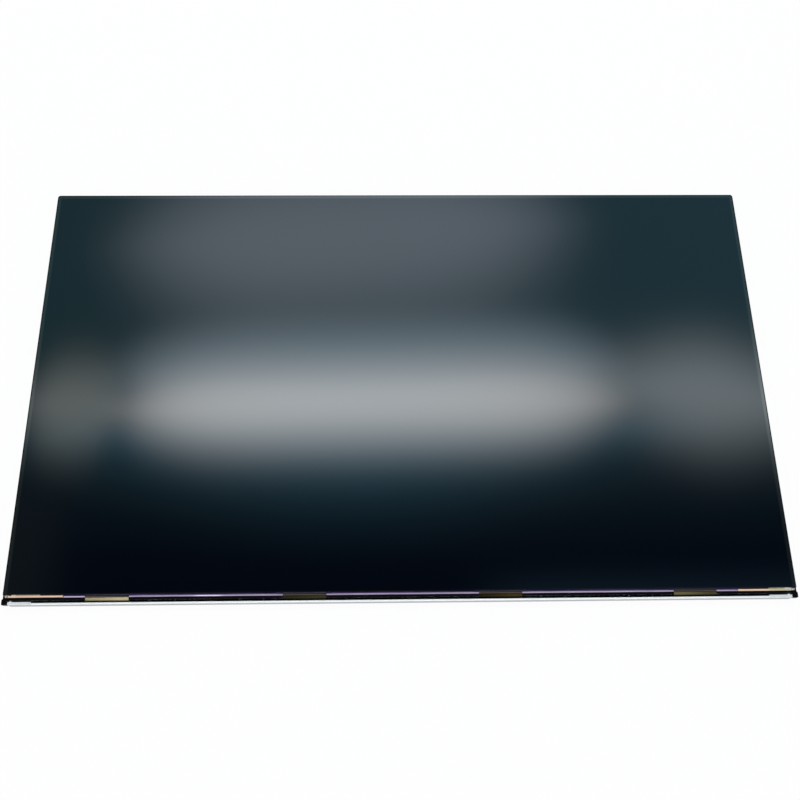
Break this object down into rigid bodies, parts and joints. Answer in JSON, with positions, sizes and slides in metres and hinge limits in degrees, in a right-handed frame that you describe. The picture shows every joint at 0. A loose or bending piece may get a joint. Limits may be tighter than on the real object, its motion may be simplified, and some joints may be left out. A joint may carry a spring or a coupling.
{
  "type": "lcd panel",
  "caption": "Flat edge-lit liquid crystal display panel with a thin black frame, a bare glass ledge with driver films along its lower edge, a bright metal board cover and a pressed steel back.",
  "frame": {"origin": "centre of the rear of the outline, on the rearmost plane, with the panel lying on its back", "axes": "+X along the screen's width to its right, +Y up the screen, +Z out of the screen"},
  "size_m": [0.5384, 0.32, 0.0098],
  "materials": {
    "screen_film": "anti-glare coated film, near black",
    "cell_glass": "clear glass over dark layers",
    "polarizer_film": "dark film",
    "foam_tape": "black adhesive foam",
    "driver_film": "amber film with copper lines",
    "silicon": "bare silicon die",
    "circuit_board": "green solder mask",
    "insulating_film": "adhesive insulating film",
    "chip_body": "moulded chip",
    "chip_part": "fired ceramic",
    "ferrite": "sintered ferrite",
    "connector_plastic": "moulded, off-white",
    "frame_plastic": "fine moulded texture, black",
    "diffuser_film": "translucent film",
    "prism_film": "clear film with fine prisms",
    "acrylic": "clear acrylic plate",
    "reflector_film": "white film",
    "thermal_tape": "grey thermal tape",
    "light_board": "metal-core board, white mask",
    "light_diode": "white body with yellow phosphor",
    "flex_tail": "amber flexible circuit",
    "soft_stop": "white silicone",
    "steel": "zinc-coated sheet",
    "cover_aluminium": "plain mill finish",
    "screw_steel": "plated"
  },
  "bodies": {
    "root": {"array_glass": "cell_glass", "back_chassis": "steel", "backlight_connector": "connector_plastic", "board_cover": "cover_aluminium", "board_insulator": "insulating_film", "cell_tape_bottom": "foam_tape", "cell_tape_left": "foam_tape", "cell_tape_right": "foam_tape", "cell_tape_top": "foam_tape", "chip_parts": "chip_part", "cover_screws": "screw_steel", "driver_chip_1": "silicon", "driver_chip_2": "silicon", "driver_chip_3": "silicon", "driver_chip_4": "silicon", "driver_film_1": "driver_film", "driver_film_2": "driver_film", "driver_film_3": "driver_film", "driver_film_4": "driver_film", "filter_glass": "cell_glass", "front_polarizer": "screen_film", "gamma_chip": "chip_body", "guide_stops": "soft_stop", "led_board": "light_board", "led_tail": "flex_tail", "led_thermal_tape": "thermal_tape", "leds": "light_diode", "light_guide": "acrylic", "lower_diffuser": "diffuser_film", "middle_frame": "frame_plastic", "power_chip": "chip_body", "power_inductor": "ferrite", "prism_sheet": "prism_film", "rear_polarizer": "polarizer_film", "reflector_sheet": "reflector_film", "source_board": "circuit_board", "timing_controller": "chip_body", "upper_diffuser": "diffuser_film", "video_connector": "connector_plastic"}
  },
  "joints": []
}
